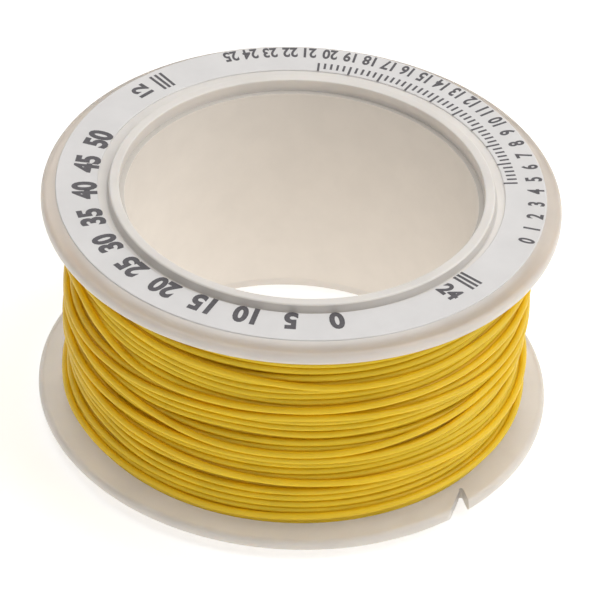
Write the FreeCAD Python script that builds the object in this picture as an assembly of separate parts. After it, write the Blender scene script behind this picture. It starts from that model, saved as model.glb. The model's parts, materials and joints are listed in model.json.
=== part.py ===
import FreeCAD, Part
import math
import os

V = FreeCAD.Vector
Z_AXIS = V(0, 0, 1)
CENTRE = V(0, 0, 0)

# Driving dimensions, millimetres and degrees
core_bore_radius = 12.96
core_wall = 1.29
winding_depth = 4.8
winding_width = 16.2
flange_thickness = 0.95
flange_edge_round = 0.42

# The collar is the raised ring around the bore on each outer face
mouth_ledge = 0.4
mouth_depth = 1.0
mouth_edge_round = 0.1
collar_wall = 0.84
collar_height = 0.72
collar_draft = 0.12
collar_edge_round = 0.14

# The hub sleeve inside each flange that holds the end of the core tube
hub_wall = 0.5
hub_length = 2.0
seat_clearance = 0.04
shoulder_clearance = 0.1

# The slanted notch in the rim of the lower flange
notch_angle = -48.2
notch_mouth = 1.95
notch_floor = 0.36
notch_depth = 1.45
notch_lean = 1.45
notch_overcut = 1.0

# The paper label on the upper flange, stuck on a little off centre
label_margin = 0.65
label_hole_gap = 0.72
label_thickness = 0.1
label_shift_x = -0.06
label_shift_y = 0.64

# The wire: insulated solid conductor, wound in courses on the core
wire_diameter = 0.5
conductor_diameter = 0.254
wire_length = 15240.0
turn_gap = 0.12

# The wire's free end lies on a turn of the outer course at the back
end_angle_start = 66.0
end_angle_sweep = 44.0
end_height_share = 0.56

# Sizes worked out from the driving dimensions
drum_radius = core_bore_radius + core_wall
flange_radius = drum_radius + winding_depth
mouth_radius = core_bore_radius + mouth_ledge
collar_base_radius = mouth_radius + collar_wall
hub_bore_radius = drum_radius - hub_wall
core_end_radius = hub_bore_radius - seat_clearance
label_radius = flange_radius - flange_edge_round - label_margin
label_hole_radius = collar_base_radius + label_hole_gap
lower_face = collar_height + flange_thickness
upper_face = lower_face + winding_width
total_height = upper_face + flange_thickness + collar_height
ledge_rise = flange_thickness + collar_height - mouth_depth
wire_radius = wire_diameter / 2
conductor_radius = conductor_diameter / 2
turns_per_course = int(winding_width / (wire_diameter + turn_gap))

# Shortest edge worth making
shortest = 1e-6


def line(a, b):
    return Part.makeLine(V(*a), V(*b))


def arc(a, middle, b):
    return Part.Arc(V(*a), V(*middle), V(*b)).toShape()


def outward(solid):
    """The same solid with its faces pointing out."""
    return solid if solid.Volume > 0 else solid.reversed()


def revolve(edges):
    """Turn a closed outline in the XZ plane about Z into a solid."""
    face = Part.Face(Part.Wire(edges))
    return outward(face.revolve(CENTRE, Z_AXIS, 360))


def rounded_outline(corners):
    """Closed XZ outline from (radius, height, round) corners."""
    points = [V(r, 0, z) for r, z, _ in corners]
    rounds = [size for _, _, size in corners]
    count = len(points)
    starts = []
    edges = []
    for i, here in enumerate(points):
        to_last = (points[i - 1] - here).normalize()
        to_next = (points[(i + 1) % count] - here).normalize()
        if rounds[i] == 0:
            starts.append((here, here))
            continue
        half = to_last.getAngle(to_next) / 2
        reach = rounds[i] / math.tan(half)
        enter = here + to_last * reach
        leave = here + to_next * reach
        bisector = (to_last + to_next).normalize()
        centre = here + bisector * (rounds[i] / math.sin(half))
        middle = centre - bisector * rounds[i]
        edges.append(arc(enter, middle, leave))
        starts.append((enter, leave))
    for i in range(count):
        leave = starts[i][1]
        enter = starts[(i + 1) % count][0]
        if leave.distanceToPoint(enter) > shortest:
            edges.append(line(leave, enter))
    return Part.__sortEdges__(edges)


def flange(inner_face, side):
    """Flange disc with its bore collar outside and its hub sleeve inside.

    side is 1 for the upper flange and -1 for the lower one."""
    corners = [
        (hub_bore_radius, -hub_length, 0),
        (drum_radius, -hub_length, 0),
        (drum_radius, 0, 0),
        (flange_radius, 0, flange_edge_round),
        (flange_radius, flange_thickness, flange_edge_round),
        (collar_base_radius, flange_thickness, 0),
        (collar_base_radius - collar_draft, flange_thickness + collar_height, collar_edge_round),
        (mouth_radius, flange_thickness + collar_height, mouth_edge_round),
        (mouth_radius, ledge_rise, 0),
        (hub_bore_radius, ledge_rise, 0),
    ]
    placed = [(r, inner_face + side * z, size) for r, z, size in corners]
    return revolve(rounded_outline(placed))


def notch_cutter():
    """Slanted wedge that takes the wire-holding notch out of the rim."""
    inner = flange_radius - notch_depth
    outer = flange_radius + notch_overcut
    share = (outer - inner) / notch_depth
    half_floor = notch_floor / 2
    half_outer = half_floor + (notch_mouth / 2 - half_floor) * share
    outer_middle = notch_lean * (1 - share)
    low = collar_height - notch_overcut
    high = lower_face + notch_overcut
    floor_a = (inner, notch_lean + half_floor, low)
    floor_b = (inner, notch_lean - half_floor, low)
    mouth_a = (outer, outer_middle + half_outer, low)
    mouth_b = (outer, outer_middle - half_outer, low)
    floor_middle = (inner - half_floor, notch_lean, low)
    outline = Part.Wire([
        arc(floor_b, floor_middle, floor_a),
        line(floor_a, mouth_a),
        line(mouth_a, mouth_b),
        line(mouth_b, floor_b),
    ])
    cutter = Part.Face(outline).extrude(V(0, 0, high - low))
    cutter.rotate(CENTRE, Z_AXIS, notch_angle)
    return cutter


def core_tube():
    """Plain tube whose ends are turned down to enter the hub sleeves."""
    low_end = lower_face - ledge_rise
    high_end = upper_face + ledge_rise
    low_shoulder = lower_face + hub_length + shoulder_clearance
    high_shoulder = upper_face - hub_length - shoulder_clearance
    corners = [
        (core_bore_radius, low_end, 0),
        (core_end_radius, low_end, 0),
        (core_end_radius, low_shoulder, 0),
        (drum_radius, low_shoulder, 0),
        (drum_radius, high_shoulder, 0),
        (core_end_radius, high_shoulder, 0),
        (core_end_radius, high_end, 0),
        (core_bore_radius, high_end, 0),
    ]
    return revolve(rounded_outline(corners))


def label():
    """Paper ring lying on the outer face of the upper flange."""
    centre = V(label_shift_x, label_shift_y, upper_face + flange_thickness)
    disc = Part.makeCylinder(label_radius, label_thickness, centre)
    hole = Part.makeCylinder(label_hole_radius, label_thickness, centre)
    return disc.cut(hole)


def course_radius(number):
    """Inner radius of a course: it lies on the crests of the one below."""
    return drum_radius + wire_diameter * number


def course_turns():
    """Turns in each course from the drum outwards, until the wire is used up."""
    left = wire_length
    turns = []
    while left > 0:
        one_turn = 2 * math.pi * (course_radius(len(turns)) + wire_radius)
        turns.append(min(turns_per_course, math.ceil(left / one_turn)))
        left -= turns[-1] * one_turn
    return turns


def turn_height(turns, turn):
    """Height of the middle of one turn, the turns evenly spread."""
    return lower_face + winding_width / turns * (turn + 0.5)


def wire_course(number, turns):
    """One wound course: a sleeve whose outside shows every turn."""
    inner = course_radius(number)
    centre_radius = inner + wire_radius
    crest = inner + wire_diameter
    edges = []
    last = (centre_radius, 0, lower_face)
    for turn in range(turns):
        middle = turn_height(turns, turn)
        foot = (centre_radius, 0, middle - wire_radius)
        head = (centre_radius, 0, middle + wire_radius)
        if foot[2] - last[2] > shortest:
            edges.append(line(last, foot))
        edges.append(arc(foot, (crest, 0, middle), head))
        last = head
    top = (centre_radius, 0, upper_face)
    edges.append(line(last, top))
    edges.append(line(top, (inner, 0, upper_face)))
    edges.append(line((inner, 0, upper_face), (inner, 0, lower_face)))
    edges.append(line((inner, 0, lower_face), (centre_radius, 0, lower_face)))
    return revolve(edges)


def wire_end(turns, section_radius, hole_radius=0.0):
    """Bar or tube that lies along one turn of the outer course."""
    route_radius = course_radius(len(turns)) + wire_radius
    height = turn_height(turns[-1], int(turns[-1] * end_height_share))
    start = math.radians(end_angle_start)
    place = V(route_radius * math.cos(start), route_radius * math.sin(start), height)
    along = V(-math.sin(start), math.cos(start), 0)
    face = Part.Face(Part.Wire(Part.makeCircle(section_radius, place, along)))
    if hole_radius > 0:
        hole = Part.Face(Part.Wire(Part.makeCircle(hole_radius, place, along)))
        face = face.cut(hole).Faces[0]
    return outward(face.revolve(CENTRE, Z_AXIS, end_angle_sweep))


os.makedirs("parts", exist_ok=True)

turn_list = course_turns()
parts = {
    "upper_flange": flange(upper_face, 1),
    "lower_flange": flange(lower_face, -1).cut(notch_cutter()),
    "core_tube": core_tube(),
    "label": label(),
    "wire_end_insulation": wire_end(turn_list, wire_radius, conductor_radius),
    "wire_end_conductor": wire_end(turn_list, conductor_radius),
}
for number, turns in enumerate(turn_list):
    parts["wire_course_%d" % (number + 1)] = wire_course(number, turns)

for name, shape in parts.items():
    if not shape.isValid() or len(shape.Solids) != 1:
        raise ValueError("%s is not one valid solid" % name)
    shape.exportStep("parts/%s.step" % name)
    print("%-22s %10.3f mm3" % (name, shape.Volume))
print("height %.2f, turns %s" % (total_height, turn_list))
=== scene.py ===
import json
import math

import bmesh
import bpy
import numpy as np
from bpy.props import FloatProperty, FloatVectorProperty, IntProperty, PointerProperty
from mathutils import Matrix, Vector


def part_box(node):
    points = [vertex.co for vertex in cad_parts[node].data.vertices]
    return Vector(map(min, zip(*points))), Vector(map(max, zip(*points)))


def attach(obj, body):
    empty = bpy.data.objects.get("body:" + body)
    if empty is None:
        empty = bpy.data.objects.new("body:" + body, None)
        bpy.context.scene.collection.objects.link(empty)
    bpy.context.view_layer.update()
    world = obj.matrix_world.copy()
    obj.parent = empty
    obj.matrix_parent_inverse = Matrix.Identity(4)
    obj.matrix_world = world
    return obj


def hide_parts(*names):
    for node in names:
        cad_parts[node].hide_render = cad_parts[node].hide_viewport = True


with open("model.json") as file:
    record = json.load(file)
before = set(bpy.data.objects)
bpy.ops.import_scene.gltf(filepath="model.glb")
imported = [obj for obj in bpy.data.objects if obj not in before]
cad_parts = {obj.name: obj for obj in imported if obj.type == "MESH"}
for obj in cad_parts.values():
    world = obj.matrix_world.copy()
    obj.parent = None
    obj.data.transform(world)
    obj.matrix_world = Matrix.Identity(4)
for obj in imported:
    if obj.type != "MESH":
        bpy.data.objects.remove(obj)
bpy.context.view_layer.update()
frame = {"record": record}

bl_info = {
    "name": "Wound Wire Spool",
    "version": (1, 0, 0),
    "blender": (4, 5, 0),
    "location": "3D View > Sidebar > Spool",
    "description": "Finishes a moulded spool that is wound with fine insulated wire",
    "category": "Add Mesh",
}

MM = 0.001


def linear(hex_colour):
    """Turn an sRGB hex colour into the linear colour that shaders take."""
    channels = [int(hex_colour[i:i + 2], 16) / 255 for i in (1, 3, 5)]
    return [c / 12.92 if c <= 0.04045 else ((c + 0.055) / 1.055) ** 2.4 for c in channels]


# Sizes that the frame gives
UPPER_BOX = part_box("upper_flange")
LABEL_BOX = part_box("label")
ROOM_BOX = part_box("wire_course_1")
END_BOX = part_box("wire_end_insulation")
BORE_RADIUS = frame["record"]["mounts"][0]["dims"]["r_mm"] * MM
FLANGE_RADIUS = UPPER_BOX[1].x
SPOOL_HEIGHT = UPPER_BOX[1].z
LOWER_FACE = ROOM_BOX[0].z
UPPER_FACE = ROOM_BOX[1].z
LABEL_FACE = LABEL_BOX[0].z
LABEL_CENTRE = (LABEL_BOX[0] + LABEL_BOX[1]) / 2
LABEL_RADIUS = (LABEL_BOX[1].x - LABEL_BOX[0].x) / 2
LABEL_TOP = (LABEL_CENTRE.x, LABEL_CENTRE.y, LABEL_BOX[1].z)

COURSES = ["wire_course_%d" % (number + 1) for number in range(6)]


def length(name, description, default, **limits):
    return FloatProperty(name=name, description=description, default=default,
                         unit="LENGTH", precision=5, min=0.0, **limits)


def colour(name, description, hex_colour):
    return FloatVectorProperty(name=name, description=description, size=3, min=0.0, max=1.0,
                               default=linear(hex_colour), subtype="COLOR")


class SpoolMoulding(bpy.types.PropertyGroup):
    """Sizes and colours of the flanges and the core."""

    edge_round: length("Rim rounding", "Rounding of the flange's rim", 0.42 * MM)
    mouth_ledge: length("Mouth ledge", "How far the mouth is wider than the bore", 0.4 * MM)
    mouth_depth: length("Mouth depth", "From the collar's end to the core's end", 1.0 * MM)
    mouth_round: length("Mouth rounding", "Rounding of the collar's inner edge", 0.1 * MM)
    collar_wall: length("Collar wall", "Thickness of the collar at its foot", 0.84 * MM)
    collar_draft: length("Collar draft", "How far the collar's side leans in", 0.12 * MM)
    collar_round: length("Collar rounding", "Rounding of the collar's outer edge", 0.14 * MM)
    hub_wall: length("Hub wall", "Thickness of the sleeve around the core's end", 0.5 * MM)
    hub_length: length("Hub length", "Depth of the sleeve inside the winding", 2.0 * MM)
    seat_clearance: length("Seat clearance", "Gap between the core's end and its sleeve", 0.04 * MM)
    core_wall: length("Core wall", "Thickness of the core tube", 1.29 * MM)
    shoulder_gap: length("Shoulder gap", "From the sleeve's end to the core's shoulder", 0.1 * MM)
    notch_angle: FloatProperty(name="Notch angle", description="Azimuth of the notch in the lower rim",
                               default=math.radians(-48.2), subtype="ANGLE")
    notch_mouth: length("Notch mouth", "Width of the notch at the rim", 1.95 * MM)
    notch_floor: length("Notch floor", "Width of the notch at its inner end", 0.36 * MM)
    notch_depth: length("Notch depth", "From the rim to the notch's inner end", 1.45 * MM)
    notch_lean: length("Notch lean", "How far the inner end lies to one side", 1.45 * MM)
    segments: IntProperty(name="Segments", description="Segments around each turned piece",
                          default=256, min=64, max=512)
    flange_colour: colour("Flange colour", "Natural polystyrene", "#F1EBE4")
    core_colour: colour("Core colour", "Core seen in the bore", "#F0E9E0")


class SpoolLabel(bpy.types.PropertyGroup):
    """Sizes and colours of the paper label and its scale."""

    hole_radius: length("Hole radius", "Radius of the label's hole", 14.92 * MM)
    edge_round: length("Edge rounding", "Rounding of the paper's cut edge", 0.08 * MM)
    bond: length("Bond", "How far the glued underside sits in the plastic", 0.01 * MM)
    ink_height: length("Ink height", "How far the ink stands over the paper", 0.01 * MM)
    figure_height: length("Figure height", "Height of the main scale's figures", 1.9 * MM)
    small_height: length("Small figure height", "Height of the fine scale's figures", 1.25 * MM)
    figures: IntProperty(name="Figures", description="Figures on the main scale", default=11, min=2, max=24)
    small_figures: IntProperty(name="Small figures", description="Figures on the fine scale",
                               default=26, min=2, max=40)
    ticks: IntProperty(name="Ticks", description="Ticks beside the fine scale", default=46, min=2, max=120)
    paper_colour: colour("Paper colour", "Coated paper", "#E9E6E4")
    ink_colour: colour("Ink colour", "Charcoal printing ink", "#4A474A")


class SpoolWinding(bpy.types.PropertyGroup):
    """Sizes, numbers and colours of the wound wire."""

    wire_diameter: length("Wire diameter", "Diameter over the insulation", 0.5 * MM)
    conductor_diameter: length("Conductor diameter", "Diameter of the solid core", 0.254 * MM)
    wire_length: FloatProperty(name="Wire length", description="Whole length of the wire",
                               default=15.24, unit="LENGTH", min=1.0, max=30.0)
    inner_turns: IntProperty(name="Inner turns", description="Turns in each inner course",
                             default=24, min=5, max=32)
    wander: length("Wander", "How far an inner turn strays from its place", 0.05 * MM)
    seed: IntProperty(name="Seed", description="Fixes how the turns stray", default=7)
    sides: IntProperty(name="Sides", description="Sides of the wire's section", default=14, min=6, max=24)
    insulation_colour: colour("Insulation colour", "Fluoropolymer insulation", "#FFE338")
    conductor_colour: colour("Conductor colour", "Silver-plated copper", "#DEDBD6")


class SpoolStage(bpy.types.PropertyGroup):
    """The camera, the floor and the light."""

    elevation: FloatProperty(name="Elevation", description="Camera's angle above the floor",
                             default=math.radians(37.851), subtype="ANGLE")
    roll: FloatProperty(name="Roll", description="Camera's turn about its line of sight",
                        default=math.radians(3.09), subtype="ANGLE")
    distance: length("Distance", "From the label's plane to the camera", 333.45 * MM)
    side_step: FloatProperty(name="Side step", description="Camera's move to its right",
                             default=0.281 * MM, unit="LENGTH")
    down_step: FloatProperty(name="Down step", description="Camera's move down its view",
                             default=7.769 * MM, unit="LENGTH")
    lens: FloatProperty(name="Lens", description="Focal length on a 36 mm sensor",
                        default=274.13, min=20.0, max=600.0)
    floor_colour: colour("Floor colour", "Pale matt floor", "#F2F1EF")


def add_node(tree, kind, settings=None, inputs=None):
    """Add a node with its settings, and set or link its inputs."""
    node = tree.nodes.new(kind)
    for name, value in (settings or {}).items():
        setattr(node, name, value)
    for name, value in (inputs or {}).items():
        if isinstance(value, bpy.types.NodeSocket):
            tree.links.new(value, node.inputs[name])
        else:
            node.inputs[name].default_value = value
    return node


def new_material(name, constants):
    """New material, its tree, and its Principled shader with these constants."""
    material = bpy.data.materials.new(name)
    material.use_nodes = True
    tree = material.node_tree
    tree.nodes.clear()
    shader = add_node(tree, "ShaderNodeBsdfPrincipled", inputs=constants)
    add_node(tree, "ShaderNodeOutputMaterial", inputs={"Surface": shader.outputs["BSDF"]})
    return material, tree, shader


def pattern_scale(size):
    """Noise scale whose lumps measure about this size, in metres."""
    return 1.0 / size


def shade(tone, share=1.0):
    """Opaque colour that is a share of a tone."""
    return (*[channel * share for channel in tone], 1.0)


def speckled(tree, place, tone, share, size, low=0.35, high=0.65):
    """Colour that drifts between a tone and a share of it, in patches of one size."""
    noise = add_node(tree, "ShaderNodeTexNoise", inputs={
        "Vector": place, "Scale": pattern_scale(size), "Detail": 3.0, "Roughness": 0.55})
    ramp = add_node(tree, "ShaderNodeMapRange", inputs={
        "Value": noise.outputs["Fac"], "From Min": low, "From Max": high})
    mix = add_node(tree, "ShaderNodeMix", {"data_type": "RGBA"}, {
        "Factor": ramp.outputs["Result"], "A": shade(tone), "B": shade(tone, share)})
    return mix.outputs["Result"]


def uneven_skin(tree, shader, place, size, detail, strength, depth):
    """Shallow relief on a surface, with lumps of one size."""
    lumps = add_node(tree, "ShaderNodeTexNoise", inputs={
        "Vector": place, "Scale": pattern_scale(size), "Detail": detail})
    bump = add_node(tree, "ShaderNodeBump", inputs={
        "Height": lumps.outputs["Fac"], "Strength": strength, "Distance": depth})
    tree.links.new(bump.outputs["Normal"], shader.inputs["Normal"])


def axis_distance(tree, place):
    """Distance of a place from the bore's axis."""
    flat = add_node(tree, "ShaderNodeVectorMath", {"operation": "MULTIPLY"}, {
        0: place, 1: (1.0, 1.0, 0.0)})
    reach = add_node(tree, "ShaderNodeVectorMath", {"operation": "LENGTH"}, {0: flat.outputs["Vector"]})
    return reach.outputs["Value"]


def collar_foot(sizes):
    """Outer radius of the collar where it meets the flange."""
    return BORE_RADIUS + sizes.mouth_ledge + sizes.collar_wall


WHITE = (1.0, 1.0, 1.0, 1.0)
POLYSTYRENE_IOR = 1.55


def moulded_polystyrene(name, sizes, clear_from, clarity, rim_shade_tone):
    """Natural polystyrene, injection moulded: milky, clearer from one radius outwards, satin gloss, with
    painted shade at the collar's foot and on the rim.
    """
    material, tree, shader = new_material(name, {
        "IOR": POLYSTYRENE_IOR, "Subsurface Weight": 0.3, "Subsurface Radius": (1.0, 0.85, 0.6),
        "Subsurface Scale": 0.4 * MM})
    place = add_node(tree, "ShaderNodeTexCoord").outputs["Object"]
    radius = axis_distance(tree, place)
    base = speckled(tree, place, sizes.flange_colour, 0.93, 4.0 * MM)
    # Painted shade in the corner around the collar's foot, a dark line about 0.2 mm wide
    corner = add_node(tree, "ShaderNodeMath", {"operation": "COMPARE"}, {
        0: radius, 1: collar_foot(sizes), 2: 0.1 * MM})
    corner_shade = add_node(tree, "ShaderNodeMix", {"data_type": "RGBA"}, {
        "Factor": corner.outputs["Value"], "A": base, "B": shade(sizes.flange_colour, 0.8)})
    # Painted shade makes the rim warmer and darker than the face, but spares its outermost line
    inside = add_node(tree, "ShaderNodeMapRange", inputs={
        "Value": radius, "From Min": FLANGE_RADIUS - 1.85 * MM, "From Max": FLANGE_RADIUS - 0.95 * MM})
    outermost = add_node(tree, "ShaderNodeMapRange", inputs={
        "Value": radius, "From Min": FLANGE_RADIUS - 0.17 * MM, "From Max": FLANGE_RADIUS - 0.02 * MM,
        "To Min": 1.0, "To Max": 0.35})
    rim_shade_mask = add_node(tree, "ShaderNodeMath", {"operation": "MULTIPLY"}, {
        0: inside.outputs["Result"], 1: outermost.outputs["Result"]})
    shaded_rim = add_node(tree, "ShaderNodeMix", {"data_type": "RGBA", "blend_type": "MULTIPLY"}, {
        "Factor": rim_shade_mask.outputs["Value"], "A": corner_shade.outputs["Result"], "B": shade(rim_shade_tone)})
    tree.links.new(shaded_rim.outputs["Result"], shader.inputs["Base Color"])
    # The thin disc lets more light through than the collar, or than its own edge seen from the side
    clear = add_node(tree, "ShaderNodeMapRange", inputs={
        "Value": radius, "From Min": clear_from, "From Max": clear_from + 1.0 * MM,
        "To Min": 0.05, "To Max": clarity})
    edge = add_node(tree, "ShaderNodeMapRange", inputs={
        "Value": radius, "From Min": FLANGE_RADIUS - 0.45 * MM, "From Max": FLANGE_RADIUS - 0.05 * MM,
        "To Min": 1.0, "To Max": 0.3})
    through = add_node(tree, "ShaderNodeMath", {"operation": "MULTIPLY"}, {
        0: clear.outputs["Result"], 1: edge.outputs["Result"]})
    tree.links.new(through.outputs["Value"], shader.inputs["Transmission Weight"])
    patches = add_node(tree, "ShaderNodeTexNoise", inputs={
        "Vector": place, "Scale": pattern_scale(1.5 * MM)})
    gloss = add_node(tree, "ShaderNodeMapRange", inputs={
        "Value": patches.outputs["Fac"], "To Min": 0.3, "To Max": 0.42})
    tree.links.new(gloss.outputs["Result"], shader.inputs["Roughness"])
    # Flow ripples left by the mould, about 0.7 mm apart and very shallow
    uneven_skin(tree, shader, place, 0.7 * MM, 2.0, 0.12, 0.03 * MM)
    return material


def moulded_core(tone):
    """The core tube, moulded in the same plastic, duller, with painted shade on all but its bore."""
    material, tree, shader = new_material("moulded_core", {"IOR": POLYSTYRENE_IOR, "Roughness": 0.5})
    place = add_node(tree, "ShaderNodeTexCoord").outputs["Object"]
    base = speckled(tree, place, tone, 0.97, 2.2 * MM)
    # Painted shade on all but the bore, so the cut end, a ledge under the mouth, is darker than the bore
    ledge = add_node(tree, "ShaderNodeMath", {"operation": "GREATER_THAN"}, {
        0: axis_distance(tree, place), 1: BORE_RADIUS + 0.01 * MM})
    ledge_shade = add_node(tree, "ShaderNodeMix", {"data_type": "RGBA"}, {
        "Factor": ledge.outputs["Value"], "A": base, "B": shade(tone, 0.72)})
    tree.links.new(ledge_shade.outputs["Result"], shader.inputs["Base Color"])
    uneven_skin(tree, shader, place, 0.35 * MM, 3.0, 0.2, 0.03 * MM)
    return material


def coated_paper(tone):
    """Coated label paper: smooth, near white, with a low sheen and faint fibre clouds."""
    material, tree, shader = new_material("coated_paper", {
        "IOR": 1.48, "Roughness": 0.42, "Subsurface Weight": 0.5, "Subsurface Radius": (1.0, 1.0, 1.0),
        "Subsurface Scale": 0.15 * MM})
    place = add_node(tree, "ShaderNodeTexCoord").outputs["Object"]
    base = speckled(tree, place, tone, 0.95, 3.0 * MM)
    tree.links.new(base, shader.inputs["Base Color"])
    uneven_skin(tree, shader, place, 0.25 * MM, 4.0, 0.15, 0.02 * MM)
    return material


def printing_ink(tone):
    """Charcoal printing ink: matt, a little uneven where the paper took less of it."""
    material, tree, shader = new_material("printing_ink", {"Roughness": 0.6})
    place = add_node(tree, "ShaderNodeTexCoord").outputs["Object"]
    base = speckled(tree, place, tone, 1.5, 0.3 * MM, 0.45, 0.75)
    tree.links.new(base, shader.inputs["Base Color"])
    return material


def extruded_insulation(tone):
    """Fluoropolymer wire insulation, extruded: glossy, and thin enough to glow warm in the gaps."""
    material, tree, shader = new_material("extruded_insulation", {"IOR": 1.38, "Roughness": 0.25})
    place = add_node(tree, "ShaderNodeTexCoord").outputs["Object"]
    base = speckled(tree, place, tone, 0.94, 2.5 * MM)
    tree.links.new(base, shader.inputs["Base Color"])
    # The share of the light that goes through the insulation
    share = 0.3
    through = add_node(tree, "ShaderNodeBsdfTranslucent", inputs={"Color": base})
    blend = add_node(tree, "ShaderNodeMixShader", inputs={
        0: share, 1: shader.outputs["BSDF"], 2: through.outputs["BSDF"]})
    tree.links.new(blend.outputs["Shader"], tree.get_output_node("ALL").inputs["Surface"])
    return material


def plated_copper(tone):
    """Silver-plated copper: bright metal with fine drawing marks."""
    material, tree, shader = new_material("plated_copper", {"Metallic": 1.0, "Roughness": 0.25})
    place = add_node(tree, "ShaderNodeTexCoord").outputs["Object"]
    base = speckled(tree, place, tone, 0.85, 0.1 * MM)
    tree.links.new(base, shader.inputs["Base Color"])
    return material


def matt_floor(tone):
    """Opal board lit from below: white around the object, lights it from beneath, keeps its shadow."""
    material, _, _ = new_material("matt_floor", {
        "Base Color": shade(tone), "Roughness": 0.9, "Specular IOR Level": 0.1,
        "Emission Color": WHITE, "Emission Strength": 0.54})
    return material


def place_piece(obj, slot, *nodes):
    """Ride on the one body and stand for CAD nodes, which are hidden; the slot is not used."""
    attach(obj, "root")
    if nodes:
        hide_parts(*nodes)


def new_object(name, data):
    """Object that is linked to the scene."""
    obj = bpy.data.objects.new(name, data)
    bpy.context.scene.collection.objects.link(obj)
    return obj


def evaluated_mesh(obj):
    """Plain mesh of what an object's modifiers or text make."""
    graph = bpy.context.evaluated_depsgraph_get()
    return bpy.data.meshes.new_from_object(obj.evaluated_get(graph))


# Steps in each rounded corner
ARC_STEPS = 8
# Runs longer than the first get support points at the second from their ends
LONG_RUN = 0.3 * MM
SUPPORT_INSET = 0.05 * MM
# Points closer than this are one
MERGE_DISTANCE = 1e-7


def finish_mesh(mesh, material, sharp=40.0):
    """Paint a mesh, turn its faces outward and smooth it except across sharp edges."""
    form = bmesh.new()
    form.from_mesh(mesh)
    bmesh.ops.remove_doubles(form, verts=form.verts, dist=MERGE_DISTANCE)
    bmesh.ops.recalc_face_normals(form, faces=form.faces)
    form.to_mesh(mesh)
    form.free()
    mesh.polygons.foreach_set("use_smooth", [True] * len(mesh.polygons))
    mesh.set_sharp_from_angle(angle=math.radians(sharp))
    mesh.materials.clear()
    mesh.materials.append(material)


def mesh_object(name, vertices, faces, material):
    """Finished object from vertices and faces."""
    mesh = bpy.data.meshes.new(name)
    mesh.from_pydata([tuple(v) for v in vertices], [], faces)
    finish_mesh(mesh, material)
    return new_object(name, mesh)


def rounded_profile(corners):
    """Closed outline from (radius, height, rounding) corners, with its rounded corners as arcs."""
    points = [Vector((r, z)) for r, z, _ in corners]
    outline = []
    for i, here in enumerate(points):
        size = corners[i][2]
        if size == 0:
            outline.append(here)
            continue
        to_last = (points[i - 1] - here).normalized()
        to_next = (points[(i + 1) % len(points)] - here).normalized()
        half = to_last.angle(to_next) / 2
        bisector = (to_last + to_next).normalized()
        centre = here + bisector * (size / math.sin(half))
        reach = size / math.tan(half)
        enter = here + to_last * reach - centre
        leave = here + to_next * reach - centre
        for step in range(ARC_STEPS + 1):
            along = enter.normalized().slerp(leave.normalized(), step / ARC_STEPS)
            outline.append(centre + along * size)
    return outline


def with_supports(outline):
    """Add points near the ends of long runs, so that smooth shading stays flat there."""
    result = []
    for i, here in enumerate(outline):
        there = outline[(i + 1) % len(outline)]
        run = (there - here).length
        result.append(here)
        if run > LONG_RUN:
            result.append(here.lerp(there, SUPPORT_INSET / run))
            result.append(here.lerp(there, 1 - SUPPORT_INSET / run))
    return result


def lathe(name, corners, segments, material, centre=(0.0, 0.0)):
    """Turn an outline of (radius, height, rounding) corners about the vertical axis."""
    outline = with_supports(rounded_profile(corners))
    count = len(outline)
    angles = [2 * math.pi * k / segments for k in range(segments)]
    vertices = [(centre[0] + p.x * math.cos(a), centre[1] + p.x * math.sin(a), p.y)
                for a in angles for p in outline]
    faces = []
    for k in range(segments):
        here = k * count
        there = ((k + 1) % segments) * count
        for i in range(count):
            j = (i + 1) % count
            faces.append((here + i, there + i, there + j, here + j))
    return mesh_object(name, vertices, faces, material)


# Azimuth and elevation in degrees and power in watts of each lamp
LAMPS = (
    ("key_lamp", 0, 45, 1.55),
    ("top_lamp", 90, 80, 1.25),
)
# Side of each lamp and its distance, in metres
LAMP_SIZE = 0.5
LAMP_DISTANCE = 0.6
# How bright the surround looks, and how much light it gives
SURROUND_SEEN = 1.35
SURROUND_LIGHT = 0.3
FLOOR_SIZE = 6.0
SENSOR_WIDTH = 36.0


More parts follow.
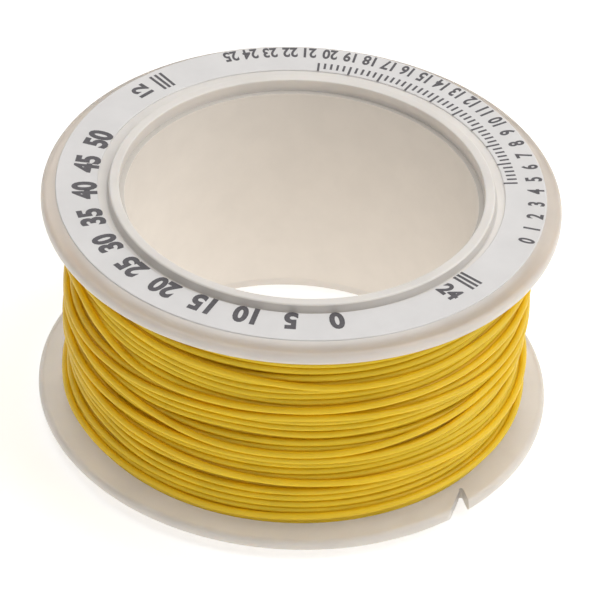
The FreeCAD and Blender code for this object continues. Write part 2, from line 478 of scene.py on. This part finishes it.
class SPOOL_OT_stage(bpy.types.Operator):
    """Make the floor, the light and the camera"""

    bl_idname = "spool.stage"
    bl_label = "Stage"

    def execute(self, context):
        stage = context.scene.spool_stage
        bpy.ops.mesh.primitive_plane_add(size=FLOOR_SIZE)
        floor = context.object
        floor.name = "floor"
        floor.data.materials.append(matt_floor(stage.floor_colour))
        self.light_world(context.scene)
        for name, azimuth, elevation, power in LAMPS:
            self.add_lamp(name, math.radians(azimuth), math.radians(elevation), power)
        self.add_camera(context.scene, stage)
        context.scene.view_settings.view_transform = "Standard"
        return {"FINISHED"}

    def light_world(self, scene):
        """Even pale surround that the camera and reflections see as white."""
        world = bpy.data.worlds.new("surround")
        world.use_nodes = True
        tree = world.node_tree
        tree.nodes.clear()
        path = add_node(tree, "ShaderNodeLightPath").outputs
        seen = add_node(tree, "ShaderNodeMath", {"operation": "MAXIMUM"}, {
            0: path["Is Camera Ray"], 1: path["Is Glossy Ray"]})
        clear = add_node(tree, "ShaderNodeMath", {"operation": "MAXIMUM"}, {
            0: seen.outputs["Value"], 1: path["Is Transmission Ray"]})
        level = add_node(tree, "ShaderNodeMapRange", inputs={
            "Value": clear.outputs["Value"], "To Min": SURROUND_LIGHT, "To Max": SURROUND_SEEN})
        light = add_node(tree, "ShaderNodeBackground", inputs={
            "Color": WHITE, "Strength": level.outputs["Result"]})
        add_node(tree, "ShaderNodeOutputWorld", inputs={"Surface": light.outputs["Background"]})
        scene.world = world

    def add_lamp(self, name, azimuth, elevation, power):
        """Soft square lamp aimed at the middle of the spool."""
        lamp = bpy.data.lights.new(name, "AREA")
        lamp.size = LAMP_SIZE
        lamp.energy = power
        obj = new_object(name, lamp)
        obj.visible_transmission = False
        level = math.cos(elevation)
        way = Vector((level * math.cos(azimuth), level * math.sin(azimuth), math.sin(elevation)))
        place = LAMP_DISTANCE * way
        aim = Vector((0, 0, SPOOL_HEIGHT / 2)) - place
        obj.matrix_world = Matrix.Translation(place) @ aim.to_track_quat("-Z", "Y").to_matrix().to_4x4()

    def add_camera(self, scene, stage):
        """Camera at the photographed angle, aimed near the label's centre."""
        data = bpy.data.cameras.new("camera")
        data.lens = stage.lens
        data.sensor_width = SENSOR_WIDTH
        data.clip_start = 0.01
        camera = new_object("camera", data)
        level = Matrix.Rotation(math.pi / 2 - stage.elevation, 4, "X")
        back = level.to_3x3() @ Vector((0, 0, 1))
        up = level.to_3x3() @ Vector((0, 1, 0))
        middle = Vector((0, 0, LABEL_FACE))
        place = middle + back * stage.distance + Vector((1, 0, 0)) * stage.side_step - up * stage.down_step
        turn = Matrix.Rotation(stage.roll, 4, "Z")
        camera.matrix_world = Matrix.Translation(place) @ level @ turn
        scene.camera = camera


def flange_corners(sizes, face, side):
    """Outline of a flange with its collar and hub sleeve; side is 1 for the upper one, -1 for the lower."""
    thickness = LABEL_FACE - UPPER_FACE
    collar_top = SPOOL_HEIGHT - UPPER_FACE
    drum = BORE_RADIUS + sizes.core_wall
    sleeve = drum - sizes.hub_wall
    mouth = BORE_RADIUS + sizes.mouth_ledge
    foot = collar_foot(sizes)
    ledge = collar_top - sizes.mouth_depth
    corners = [
        (sleeve, -sizes.hub_length, 0),
        (drum, -sizes.hub_length, 0),
        (drum, 0, 0),
        (FLANGE_RADIUS, 0, sizes.edge_round),
        (FLANGE_RADIUS, thickness, sizes.edge_round),
        (foot, thickness, 0),
        (foot - sizes.collar_draft, collar_top, sizes.collar_round),
        (mouth, collar_top, sizes.mouth_round),
        (mouth, ledge, 0),
        (sleeve, ledge, 0),
    ]
    return [(r, face + side * z, size) for r, z, size in corners]


def core_corners(sizes):
    """Outline of the core tube, its ends turned down to enter the hub sleeves."""
    drum = BORE_RADIUS + sizes.core_wall
    end = drum - sizes.hub_wall - sizes.seat_clearance
    rise = SPOOL_HEIGHT - UPPER_FACE - sizes.mouth_depth
    step = sizes.hub_length + sizes.shoulder_gap
    return [
        (BORE_RADIUS, LOWER_FACE - rise, 0),
        (end, LOWER_FACE - rise, 0),
        (end, LOWER_FACE + step, 0),
        (drum, LOWER_FACE + step, 0),
        (drum, UPPER_FACE - step, 0),
        (end, UPPER_FACE - step, 0),
        (end, UPPER_FACE + rise, 0),
        (BORE_RADIUS, UPPER_FACE + rise, 0),
    ]


def notch_cutter(sizes, material):
    """Slanted wedge that takes the wire notch out of the lower rim."""
    over = 1.0 * MM
    inner = FLANGE_RADIUS - sizes.notch_depth
    outer = FLANGE_RADIUS + over
    share = (outer - inner) / sizes.notch_depth
    half = sizes.notch_floor / 2
    wide = half + (sizes.notch_mouth / 2 - half) * share
    middle = sizes.notch_lean * (1 - share)
    arc = [math.pi / 2 + math.pi * k / ARC_STEPS for k in range(ARC_STEPS + 1)]
    plan = [(inner + half * math.cos(a), sizes.notch_lean + half * math.sin(a)) for a in arc]
    plan += [(outer, middle - wide), (outer, middle + wide)]
    turn = Matrix.Rotation(sizes.notch_angle, 4, "Z")
    levels = (-over, LOWER_FACE + over)
    vertices = [turn @ Vector((x, y, z)) for z in levels for x, y in plan]
    count = len(plan)
    faces = [tuple(range(count))[::-1], tuple(range(count, 2 * count))]
    faces += [(i, (i + 1) % count, (i + 1) % count + count, i + count) for i in range(count)]
    return mesh_object("notch_cutter", vertices, faces, material)


def cut_away(obj, cutter):
    """Take the cutter's form out of a piece and keep the plain mesh."""
    modifier = obj.modifiers.new("cut", "BOOLEAN")
    modifier.operation = "DIFFERENCE"
    modifier.solver = "EXACT"
    modifier.object = cutter
    result = evaluated_mesh(obj)
    obj.modifiers.clear()
    material = obj.data.materials[0]
    obj.data = result
    finish_mesh(result, material)
    bpy.data.objects.remove(cutter)


class SPOOL_OT_mouldings(bpy.types.Operator):
    """Turn the two flanges and the core tube"""

    bl_idname = "spool.mouldings"
    bl_label = "Flanges and core"

    def execute(self, context):
        sizes = context.scene.spool_moulding
        # Label and wire hold back the light in all but the rim of the upper flange
        # The last argument is the tone of the rim's painted shade; white leaves the lower rim without it
        milky = moulded_polystyrene(
            "milky_polystyrene", sizes, FLANGE_RADIUS - 1.65 * MM, 0.6, (0.93, 0.88, 0.83))
        plastic = moulded_polystyrene(
            "moulded_polystyrene", sizes, collar_foot(sizes) + 0.4 * MM, 0.68, (1.0, 1.0, 1.0))
        upper = lathe("flange_upper", flange_corners(sizes, UPPER_FACE, 1), sizes.segments, milky)
        lower = lathe("flange_lower", flange_corners(sizes, LOWER_FACE, -1), sizes.segments, plastic)
        cut_away(lower, notch_cutter(sizes, plastic))
        core = lathe("core", core_corners(sizes), sizes.segments, moulded_core(sizes.core_colour))
        place_piece(upper, "flange_plastic", "upper_flange")
        place_piece(lower, "flange_plastic", "lower_flange")
        place_piece(core, "core_plastic", "core_tube")
        return {"FINISHED"}


def through_nodes(name, mesh, tree, inputs):
    """Run a mesh through a node tree and keep the plain mesh that comes out."""
    maker = new_object(name + "_maker", mesh)
    modifier = maker.modifiers.new("nodes", "NODES")
    modifier.node_group = tree
    for item in tree.interface.items_tree:
        if item.item_type == "SOCKET" and item.in_out == "INPUT" and item.name in inputs:
            modifier[item.identifier] = inputs[item.name]
    result = evaluated_mesh(maker)
    result.name = name
    bpy.data.objects.remove(maker)
    return new_object(name, result)


def geometry_tree(name, inputs, output):
    """Geometry node group with its inputs and its one output, and the sockets that the inputs give."""
    tree = bpy.data.node_groups.new(name, "GeometryNodeTree")
    for socket, kind in inputs.items():
        tree.interface.new_socket(socket, in_out="INPUT", socket_type="NodeSocket" + kind)
    tree.interface.new_socket(output, in_out="OUTPUT", socket_type="NodeSocketGeometry")
    return tree, add_node(tree, "NodeGroupInput").outputs


def paint_and_put_out(tree, geometry, material):
    """Make the geometry real, paint it and put it out of the node group."""
    real = add_node(tree, "GeometryNodeRealizeInstances", inputs={"Geometry": geometry})
    painted = add_node(tree, "GeometryNodeSetMaterial", inputs={
        "Geometry": real.outputs["Geometry"], "Material": material})
    add_node(tree, "NodeGroupOutput", inputs={0: painted.outputs["Geometry"]})


def figure_mesh(text, height, width_share, weight):
    """Mesh of one printed figure with its middle at zero, so that half of it sinks into the paper."""
    curve = bpy.data.curves.new("figure", "FONT")
    curve.body = text
    curve.offset = weight
    curve.extrude = 0.5
    curve.resolution_u = 4
    obj = new_object("figure", curve)
    mesh = evaluated_mesh(obj)
    bpy.data.objects.remove(obj)
    across = [v.co.x for v in mesh.vertices]
    along = [v.co.y for v in mesh.vertices]
    middle = (-(min(across) + max(across)) / 2, -(min(along) + max(along)) / 2, 0)
    mesh.transform(Matrix.Translation(middle))
    scale = height / (max(along) - min(along))
    thickness = 2 * bpy.context.scene.spool_label.ink_height
    mesh.transform(Matrix.Diagonal((scale * width_share, scale, thickness, 1)))
    return mesh


def joined_object(name, meshes, material):
    """One object from several meshes."""
    form = bmesh.new()
    for mesh in meshes:
        form.from_mesh(mesh)
    whole = bpy.data.meshes.new(name)
    form.to_mesh(whole)
    form.free()
    finish_mesh(whole, material, sharp=20.0)
    return new_object(name, whole)


def on_label(radius, azimuth, facing):
    """Matrix that puts a print on the label; facing turns its top from the outward direction."""
    swing = Matrix.Rotation(azimuth, 4, "Z")
    reach = Matrix.Translation((radius, 0, 0))
    return Matrix.Translation(LABEL_TOP) @ swing @ reach @ Matrix.Rotation(facing, 4, "Z")


def tick_tree():
    """Geometry nodes that lay a row of printed ticks around the label, every fifth one longer."""
    tree, given = geometry_tree("tick_row", {
        "Geometry": "Geometry", "Start": "Float", "Step": "Float", "Radius": "Float", "Length": "Float",
        "Width": "Float", "Thickness": "Float", "Extra": "Float", "Count": "Int", "Centre": "Vector",
        "Material": "Material"}, "Ticks")
    row = add_node(tree, "GeometryNodeMeshLine", inputs={"Count": given["Count"]})
    index = add_node(tree, "GeometryNodeInputIndex").outputs["Index"]
    angle = add_node(tree, "ShaderNodeMath", {"operation": "MULTIPLY_ADD"}, {
        0: index, 1: given["Step"], 2: given["Start"]}).outputs["Value"]
    fifth = add_node(tree, "ShaderNodeMath", {"operation": "MODULO"}, {0: index, 1: 5.0})
    is_long = add_node(tree, "ShaderNodeMath", {"operation": "LESS_THAN"}, {
        0: fifth.outputs["Value"], 1: 0.5})
    share = add_node(tree, "ShaderNodeMath", {"operation": "MULTIPLY_ADD"}, {
        0: is_long.outputs["Value"], 1: given["Extra"], 2: 1.0})
    reach = add_node(tree, "ShaderNodeMath", {"operation": "MULTIPLY"}, {
        0: share.outputs["Value"], 1: given["Length"]}).outputs["Value"]
    middle = add_node(tree, "ShaderNodeMath", {"operation": "MULTIPLY_ADD"}, {
        0: reach, 1: -0.5, 2: given["Radius"]}).outputs["Value"]
    flat = add_node(tree, "ShaderNodeCombineXYZ")
    for axis, operation in (("X", "COSINE"), ("Y", "SINE")):
        part = add_node(tree, "ShaderNodeMath", {"operation": operation}, {0: angle})
        along = add_node(tree, "ShaderNodeMath", {"operation": "MULTIPLY"}, {
            0: middle, 1: part.outputs["Value"]})
        tree.links.new(along.outputs["Value"], flat.inputs[axis])
    place = add_node(tree, "ShaderNodeVectorMath", {"operation": "ADD"}, {
        0: flat.outputs["Vector"], 1: given["Centre"]})
    moved = add_node(tree, "GeometryNodeSetPosition", inputs={
        "Geometry": row.outputs["Mesh"], "Position": place.outputs["Vector"]})
    block = add_node(tree, "GeometryNodeMeshCube", inputs={"Size": (1.0, 1.0, 1.0)})
    turn = add_node(tree, "ShaderNodeCombineXYZ", inputs={"Z": angle})
    size = add_node(tree, "ShaderNodeCombineXYZ", inputs={
        "X": reach, "Y": given["Width"], "Z": given["Thickness"]})
    ticks = add_node(tree, "GeometryNodeInstanceOnPoints", inputs={
        "Points": moved.outputs["Geometry"], "Instance": block.outputs["Mesh"],
        "Rotation": turn.outputs["Vector"], "Scale": size.outputs["Vector"]})
    paint_and_put_out(tree, ticks.outputs["Instances"], given["Material"])
    return tree


# The two scales of figures: azimuth of the first and sweep to the last in degrees, radius in mm, what
# each figure adds, its width and weight as shares, and how its top turns from the outward direction
MAIN_SCALE = (281.0, -118.0, 15.85, 5, 0.85, 0.045, -math.pi / 2)
FINE_SCALE = (-17.0, 127.0, 17.2, 1, 0.7, 0.03, math.pi / 2)
# Two plain numbers that read outward: figures, radius in mm and azimuth in degrees
SIDE_MARKS = (("12", 16.6, 138.2), ("24", 15.9, 313.6))
# Their height, and their width and weight as shares
MARK_FORM = (1.35 * MM, 0.95, 0.04)
# Rows of ticks: azimuth of the first and step to the next in degrees, outer radius, length and width
# in mm, and the share by which every fifth is longer
TICK_ROWS = {
    "fine_ticks": (7.0, 1.78, 15.95, 0.72, 0.17, 0.45),
    "first_bar": (129.6, 1.5, 17.5, 1.9, 0.22, 0.0),
    "second_bar": (318.8, 1.5, 16.8, 1.9, 0.22, 0.0),
}
BARS = 3


class SPOOL_OT_label(bpy.types.Operator):
    """Lay the paper label on the upper flange and print plain scales on it"""

    bl_idname = "spool.label"
    bl_label = "Label"

    def execute(self, context):
        sizes = context.scene.spool_label
        low = LABEL_FACE - sizes.bond
        high = LABEL_TOP[2]
        corners = [
            (sizes.hole_radius, low, 0),
            (LABEL_RADIUS, low, 0),
            (LABEL_RADIUS, high, sizes.edge_round),
            (sizes.hole_radius, high, sizes.edge_round),
        ]
        paper = lathe("paper_ring", corners, context.scene.spool_moulding.segments,
                      coated_paper(sizes.paper_colour), LABEL_TOP)
        place_piece(paper, "label_paper", "label")
        ink = printing_ink(sizes.ink_colour)
        prints = {
            "main_scale": self.scale_figures(sizes.figures, sizes.figure_height, *MAIN_SCALE),
            "fine_scale": self.scale_figures(sizes.small_figures, sizes.small_height, *FINE_SCALE),
            "side_marks": self.side_marks(),
        }
        for name, meshes in prints.items():
            place_piece(joined_object(name, meshes, ink), "label_paper")
        tree = tick_tree()
        counts = {"fine_ticks": sizes.ticks}
        for name, (start, step, radius, reach, width, extra) in TICK_ROWS.items():
            ticks = through_nodes(name, bpy.data.meshes.new(name + "_start"), tree, {
                "Start": math.radians(start), "Step": math.radians(step), "Radius": radius * MM,
                "Length": reach * MM, "Width": width * MM, "Thickness": 2 * sizes.ink_height,
                "Extra": extra, "Count": counts.get(name, BARS), "Centre": LABEL_TOP, "Material": ink})
            place_piece(ticks, "label_paper")
        return {"FINISHED"}

    def scale_figures(self, count, height, start, sweep, radius, jump, width_share, weight, facing):
        """Figures that count up around the label."""
        meshes = []
        for place in range(count):
            azimuth = math.radians(start + sweep * place / (count - 1))
            mesh = figure_mesh(str(jump * place), height, width_share, weight)
            mesh.transform(on_label(radius * MM, azimuth, facing))
            meshes.append(mesh)
        return meshes

    def side_marks(self):
        """Two plain numbers that read outward."""
        meshes = []
        for text, radius, azimuth in SIDE_MARKS:
            mesh = figure_mesh(text, *MARK_FORM)
            mesh.transform(on_label(radius * MM, math.radians(azimuth), 0.0))
            meshes.append(mesh)
        return meshes


# The outer course is not even. Its turns lie in bundles with gaps between, given as the number of
# turns in a bundle and its lower edge: the drop in mm below the upper flange at six azimuths
FRONT_AZIMUTHS = (-155, -130, -105, -80, -55, -30)
BUNDLES = (
    (4, (2.15, 2.15, 2.2, 2.3, 2.2, 2.1)),
    (3, (3.15, 3.85, 4.07, 4.02, 3.9, 3.55)),
    (2, (3.65, 4.4, 5.0, 5.1, 4.87, 4.3)),
    (1, (4.6, 5.3, 5.6, 5.6, 5.45, 5.2)),
    (2, (7.25, 7.15, 6.87, 7.0, 7.15, 7.45)),
    (2, (8.2, 8.3, 7.95, 8.08, 7.85, 8.1)),
    (2, (9.4, 9.45, 9.45, 9.4, 9.5, 9.5)),
    (2, (10.65, 10.85, 10.95, 11.0, 11.08, 10.95)),
    (3, (11.75, 12.25, 12.45, 12.58, 12.45, 12.75)),
    (2, (13.25, 13.85, 14.0, 13.95, 13.77, 13.65)),
    (4, (16.2, 16.2, 16.2, 16.2, 16.2, 16.2)),
)
# The last turns ramble over the outer course: the drop of each one's lower edge
LAST_TURNS = (
    (15.3, 15.4, 15.5, 15.35, 15.15, 15.1),
    (10.5, 11.3, 11.97, 12.3, 12.4, 12.75),
    (10.0, 10.0, 10.15, 10.2, 10.2, 9.85),
    (7.75, 8.77, 9.5, 9.57, 9.05, 8.6),
    (3.5, 5.65, 5.65, 5.45, 5.35, 5.05),
    (2.1, 2.55, 2.9, 3.48, 3.6, 3.35),
    (7.15, 6.9, 6.45, 6.25, 6.7, 7.35),
)
# Samples in a turn, and the azimuths of its start, behind the spool, and of its front
SAMPLES = 144
STEP_ANGLE = 2 * math.pi / SAMPLES
FIRST_AZIMUTH = math.radians(90)
FRONT_AZIMUTH = math.pi * 1.5
# A turn has reached its place at the first of these, and leaves it at the second
LEFT_END = math.radians(190)
RIGHT_END = math.radians(345)
# The wire's free end
END_START = math.radians(66)
END_STOP = math.radians(110)
END_SAMPLES = round((END_STOP - END_START) / STEP_ANGLE)
# Samples over which the last turn levels out towards the free end
LEVEL_SAMPLES = 24
# Distance between turns that lie close together in a bundle
CLOSE_PITCH = 0.54 * MM
# Lobes in each turn of the waves that a stray is made of
LOBES = (0.37, 0.83, 1.61, 2.3, 3.7)
# The outer turns stray by this share of what the inner ones do
OUTER_WANDER = 0.25
# The most that the wire climbs from one sample to the next
LARGEST_CLIMB = 0.05 * MM
EVENING_PASSES = 3


def ease(x):
    """Smooth rise from 0 to 1, level at both ends."""
    x = np.clip(x, 0, 1)
    return x * x * (3 - 2 * x)


def smooth_line(values, azimuths):
    """Smooth curve through values at the front azimuths, its two ends brought together behind."""
    first = FRONT_AZIMUTHS[0]
    step = FRONT_AZIMUTHS[1] - first
    place = (np.degrees(azimuths) - 360 - first) / step
    # It stops just short of the last value, so that there is always one to go towards
    x = np.clip(place, 0, len(values) - 1.0001)
    k = x.astype(int)
    t = x - k
    padded = np.array([values[0], *values, values[-1]]) * MM
    a, b, c, d = padded[k], padded[k + 1], padded[k + 2], padded[np.minimum(k + 3, len(padded) - 1)]
    front = b + 0.5 * t * (c - a + t * (2 * a - 5 * b + 4 * c - d + t * (3 * (b - c) + d - a)))
    meeting = np.degrees(FIRST_AZIMUTH)
    before = ease(-place * step / (first + 360 - meeting))
    after = ease((place - len(values) + 1) * step / (meeting - FRONT_AZIMUTHS[-1]))
    half_apart = (values[-1] - values[0]) / 2 * MM
    return front + half_apart * (before - after)


def bundle_drops(azimuths, gauge):
    """Drop of every outer turn's centre below the upper flange, one row per turn."""
    rows = []
    top = np.zeros_like(azimuths)
    for count, values in BUNDLES:
        low = smooth_line(values, azimuths)
        pitch = np.minimum(CLOSE_PITCH, (low - top) / count)
        rows += [low - (count - 1 - place) * pitch - gauge / 2 for place in range(count)]
        top = low
    return spread(np.array(rows), gauge)


def spread(drops, gauge):
    """Push apart the turns that lie closer than one diameter, at every azimuth."""
    middle = (pushed_down(drops, gauge) + pushed_up(drops, gauge)) / 2
    return pushed_up(pushed_down(middle, gauge), gauge)


def pushed_down(drops, gauge):
    """Turns moved down until none overlaps the one above it."""
    result = drops.copy()
    for turn in range(1, len(result)):
        result[turn] = np.maximum(result[turn], result[turn - 1] + gauge)
    return result


def pushed_up(drops, gauge):
    """Turns moved up until the last is clear of the lower flange and none overlaps the one below it."""
    result = drops.copy()
    result[-1] = np.minimum(result[-1], UPPER_FACE - LOWER_FACE - gauge / 2)
    for turn in range(len(result) - 2, -1, -1):
        result[turn] = np.minimum(result[turn], result[turn + 1] - gauge)
    return result


def stray(rng, count, size):
    """Smooth random offsets along the wire, a few lobes in each turn."""
    total = np.zeros(count)
    along = np.arange(count) * STEP_ANGLE
    for lobes in LOBES:
        total += np.sin(along * lobes + rng.uniform(0, 2 * math.pi)) / (1 + lobes)
    return total * size


def joined_turns(rows, azimuths):
    """One height line through rows of front heights: each turn moves over behind the spool."""
    turns = []
    lead = ease((azimuths - FIRST_AZIMUTH) / (LEFT_END - FIRST_AZIMUTH))
    tail = ease((azimuths - RIGHT_END) / (FIRST_AZIMUTH + 2 * math.pi - RIGHT_END))
    for last, here, following in zip(rows[:-2], rows[1:-1], rows[2:]):
        entry = (last + here) / 2 * (1 - lead) + here * lead
        leave = here * (1 - tail) + (here + following) / 2 * tail
        turns.append(np.where(azimuths < FRONT_AZIMUTH, entry, leave))
    return np.concatenate(turns)


def turn_heights(sizes):
    """Height of the wire's centre at every sample, as one list of courses."""
    rng = np.random.default_rng(sizes.seed)
    gauge = sizes.wire_diameter
    low = LOWER_FACE + gauge / 2
    high = UPPER_FACE - gauge / 2
    courses = []
    for number in range(len(COURSES) - 1):
        count = sizes.inner_turns * SAMPLES
        share = np.arange(count) / count
        even = low + (high - low) * (share if number % 2 == 0 else 1 - share)
        courses.append(np.clip(even + stray(rng, count, sizes.wander), low, high))
    azimuths = FIRST_AZIMUTH + np.arange(SAMPLES) * STEP_ANGLE
    last = np.array([smooth_line(values, azimuths) - gauge / 2 for values in LAST_TURNS])
    rows = UPPER_FACE - np.vstack([bundle_drops(azimuths, gauge), last])
    end_height = (END_BOX[0].z + END_BOX[1].z) / 2
    level = np.full(SAMPLES, end_height)
    outer = joined_turns([np.full(SAMPLES, high), *rows, 2 * level - rows[-1]], azimuths)
    outer = outer + stray(rng, len(outer), sizes.wander * OUTER_WANDER)
    tip = round((END_STOP - FIRST_AZIMUTH) / STEP_ANGLE) + 1
    outer = np.concatenate([outer, level[:tip]])
    settled = round((FIRST_AZIMUTH - END_START) / STEP_ANGLE) + tip
    outer[-settled:] = end_height
    before = slice(-settled - LEVEL_SAMPLES, -settled)
    blend = ease(np.arange(LEVEL_SAMPLES) / LEVEL_SAMPLES)
    outer[before] = outer[before] * (1 - blend) + end_height * blend
    courses.append(np.clip(outer, low, high))
    return courses


def settle(heights, sizes):
    """Lay each turn on those beneath: radius of the wire's centre at every sample."""
    gauge = sizes.wire_diameter
    drum = BORE_RADIUS + bpy.context.scene.spool_moulding.core_wall + gauge / 2
    count = len(heights)
    turns = math.ceil(count / SAMPLES)
    padded = np.full(turns * SAMPLES, heights[-1])
    padded[:count] = heights
    z = padded.reshape(turns, SAMPLES)
    r = np.full((turns, SAMPLES), drum)
    for turn in range(1, turns):
        gap = np.abs(z[:turn] - z[turn])
        touch = np.where(gap < gauge, r[:turn] + np.sqrt(np.maximum(gauge ** 2 - gap ** 2, 0)), drum)
        rest = np.maximum(touch.max(axis=0), drum)
        line = np.concatenate([r[turn - 1], rest])
        for i in range(len(line) - 2, -1, -1):
            line[i] = max(line[i], line[i + 1] - LARGEST_CLIMB)
        for i in range(SAMPLES, len(line)):
            line[i] = max(line[i], line[i - 1] - LARGEST_CLIMB)
        r[turn - 1] = line[:SAMPLES]
        r[turn] = line[SAMPLES:]
    # The wire is too stiff to follow every step, so its radius is evened out
    flat = r.reshape(-1)
    weights = np.array([1, 4, 6, 4, 1]) / 16
    for _ in range(EVENING_PASSES):
        flat = np.convolve(np.pad(flat, 2, mode="edge"), weights, "valid")
    return flat[:count]


def wire_tree():
    """Geometry nodes that sweep a round section along a route and paint it."""
    tree, given = geometry_tree("swept_wire", {
        "Route": "Geometry", "Radius": "Float", "Sides": "Int", "Material": "Material"}, "Wire")
    route = add_node(tree, "GeometryNodeMeshToCurve", inputs={"Mesh": given["Route"]})
    section = add_node(tree, "GeometryNodeCurvePrimitiveCircle", inputs={
        "Radius": given["Radius"], "Resolution": given["Sides"]})
    swept = add_node(tree, "GeometryNodeCurveToMesh", inputs={
        "Curve": route.outputs["Curve"], "Profile Curve": section.outputs["Curve"], "Fill Caps": True})
    smooth = add_node(tree, "GeometryNodeSetShadeSmooth", inputs={
        "Geometry": swept.outputs["Mesh"], "Shade Smooth": True})
    paint_and_put_out(tree, smooth.outputs["Geometry"], given["Material"])
    return tree


def route_mesh(name, points):
    """Mesh of a chain of edges through points."""
    mesh = bpy.data.meshes.new(name + "_route")
    mesh.from_pydata([tuple(p) for p in points], [(i, i + 1) for i in range(len(points) - 1)], [])
    return mesh


class SPOOL_OT_winding(bpy.types.Operator):
    """Wind the whole length of wire on the core, course by course"""

    bl_idname = "spool.winding"
    bl_label = "Wound wire"

    def execute(self, context):
        sizes = context.scene.spool_winding
        insulation = extruded_insulation(sizes.insulation_colour)
        courses = turn_heights(sizes)
        heights = np.concatenate(courses)
        radii = settle(heights, sizes)
        angles = FIRST_AZIMUTH + np.arange(len(heights)) * STEP_ANGLE
        points = np.column_stack([radii * np.cos(angles), radii * np.sin(angles), heights])
        steps = np.linalg.norm(np.diff(points, axis=0), axis=1)
        beyond = np.concatenate([np.cumsum(steps[::-1])[::-1], [0.0]])
        kept = beyond <= sizes.wire_length
        print("wire: %.3f m wound, %.3f m kept, %d samples left out" % (
            steps.sum(), beyond[kept][0], (~kept).sum()))
        tree = wire_tree()
        last = len(points) - END_SAMPLES
        start = 0
        for name, course in zip(COURSES, courses):
            stop = min(start + len(course), last) + 1
            part = points[start:stop][kept[start:stop]]
            obj = through_nodes(name.replace("course", "turns"), route_mesh(name, part), tree, {
                "Radius": sizes.wire_diameter / 2, "Sides": sizes.sides, "Material": insulation})
            place_piece(obj, "wire_insulation", name)
            start += len(course)
        tip = points[last - 1:]
        conductor = plated_copper(sizes.conductor_colour)
        for name, slot, radius, part, material in (
                ("end_insulation", "wire_insulation", sizes.wire_diameter / 2, tip[:-1], insulation),
                ("end_conductor", "wire_conductor", sizes.conductor_diameter / 2, tip, conductor)):
            obj = through_nodes(name, route_mesh(name, part), tree, {
                "Radius": radius, "Sides": sizes.sides, "Material": material})
            place_piece(obj, slot, "wire_" + name)
        return {"FINISHED"}


class SPOOL_PT_panel(bpy.types.Panel):
    """Sidebar panel with one button for each step"""

    bl_idname = "SPOOL_PT_panel"
    bl_label = "Wire spool"
    bl_space_type = "VIEW_3D"
    bl_region_type = "UI"
    bl_category = "Spool"

    def draw(self, context):
        for step in STEPS:
            self.layout.operator(step.bl_idname)


STEPS = (SPOOL_OT_stage, SPOOL_OT_mouldings, SPOOL_OT_label, SPOOL_OT_winding)
GROUPS = {
    "spool_moulding": SpoolMoulding,
    "spool_label": SpoolLabel,
    "spool_winding": SpoolWinding,
    "spool_stage": SpoolStage,
}


def register():
    for group in GROUPS.values():
        bpy.utils.register_class(group)
    for name, group in GROUPS.items():
        setattr(bpy.types.Scene, name, PointerProperty(type=group))
    for step in STEPS:
        bpy.utils.register_class(step)
    bpy.utils.register_class(SPOOL_PT_panel)


def unregister():
    bpy.utils.unregister_class(SPOOL_PT_panel)
    for step in reversed(STEPS):
        bpy.utils.unregister_class(step)
    for name, group in reversed(GROUPS.items()):
        delattr(bpy.types.Scene, name)
        bpy.utils.unregister_class(group)


def main():
    register()
    for step in STEPS:
        operator = getattr(bpy.ops.spool, step.bl_idname.split(".")[1])
        if operator() != {"FINISHED"}:
            raise RuntimeError("%s did not finish" % step.bl_idname)


if __name__ == "__main__":
    main()
